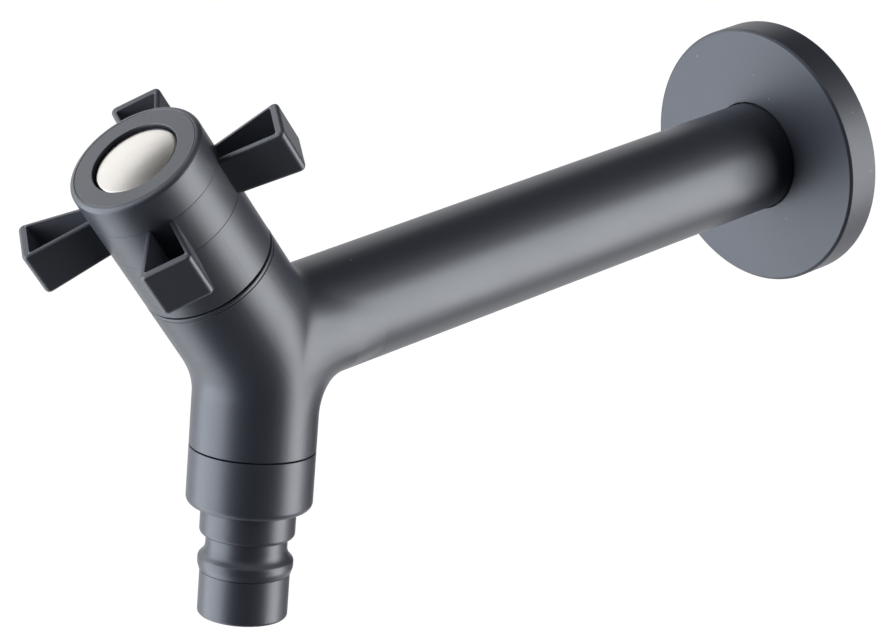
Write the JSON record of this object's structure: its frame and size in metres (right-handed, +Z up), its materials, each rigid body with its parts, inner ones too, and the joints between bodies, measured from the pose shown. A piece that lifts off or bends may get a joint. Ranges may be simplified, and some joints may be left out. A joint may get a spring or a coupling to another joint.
{
  "type": "wall-mounted garden tap",
  "caption": "Long-reach wall garden tap with a cross handle, leaning quarter-turn valve, round wall flange and a stepped push-on hose nozzle, all in matte charcoal.",
  "frame": {"origin": "centre of the wall flange's back face, on the tube's axis and inside the span of the inlet thread", "axes": "+Y into the wall along the inlet thread and the tube, +Z up, +X to the right as seen when facing the wall"},
  "size_m": [0.0612, 0.2244, 0.1159],
  "materials": {
    "body_coat": "matte charcoal powder coat on cast stainless steel",
    "flange_coat": "matte charcoal powder coat on pressed stainless steel",
    "nozzle_coat": "matte charcoal powder coat on turned stainless steel",
    "handle_coat": "matte charcoal powder coat on die-cast zinc",
    "stainless_thread": "turned stainless steel, bare",
    "badge_steel": "satin brushed stainless steel, bare of marks",
    "spring_steel": "zinc-plated spring and screw steel",
    "turned_brass": "turned brass, satin",
    "white_ceramic": "lapped alumina",
    "white_plastic": "moulded acetal, matte",
    "black_rubber": "moulded nitrile rubber"
  },
  "bodies": {
    "tap": {"tap_body": "body_coat", "inlet_nipple": "stainless_thread", "wall_flange": "flange_coat", "flange_ring": "black_rubber", "outlet_nozzle": "nozzle_coat", "nozzle_gasket": "black_rubber", "headwork_body": "turned_brass", "headwork_ring": "black_rubber", "seat_seal": "black_rubber", "seal_support": "white_plastic", "fixed_disc": "white_ceramic"},
    "handle": {"moving_disc": "white_ceramic", "spindle": "turned_brass", "spindle_rings": "black_rubber", "spindle_clip": "spring_steel", "friction_washer": "white_plastic", "handle_skirt": "handle_coat", "handle_cross": "handle_coat", "handle_cap": "handle_coat", "index_badge": "badge_steel", "spline_insert": "turned_brass", "lock_washer": "spring_steel", "handle_screw": "spring_steel"}
  },
  "joints": [
    {"name": "handle_turn", "type": "hinge", "parent": "tap", "child": "handle", "pos_m": [0, -0.1627, 0], "axis": [0, -0.5, 0.866], "range_deg": [0, 90]}
  ]
}
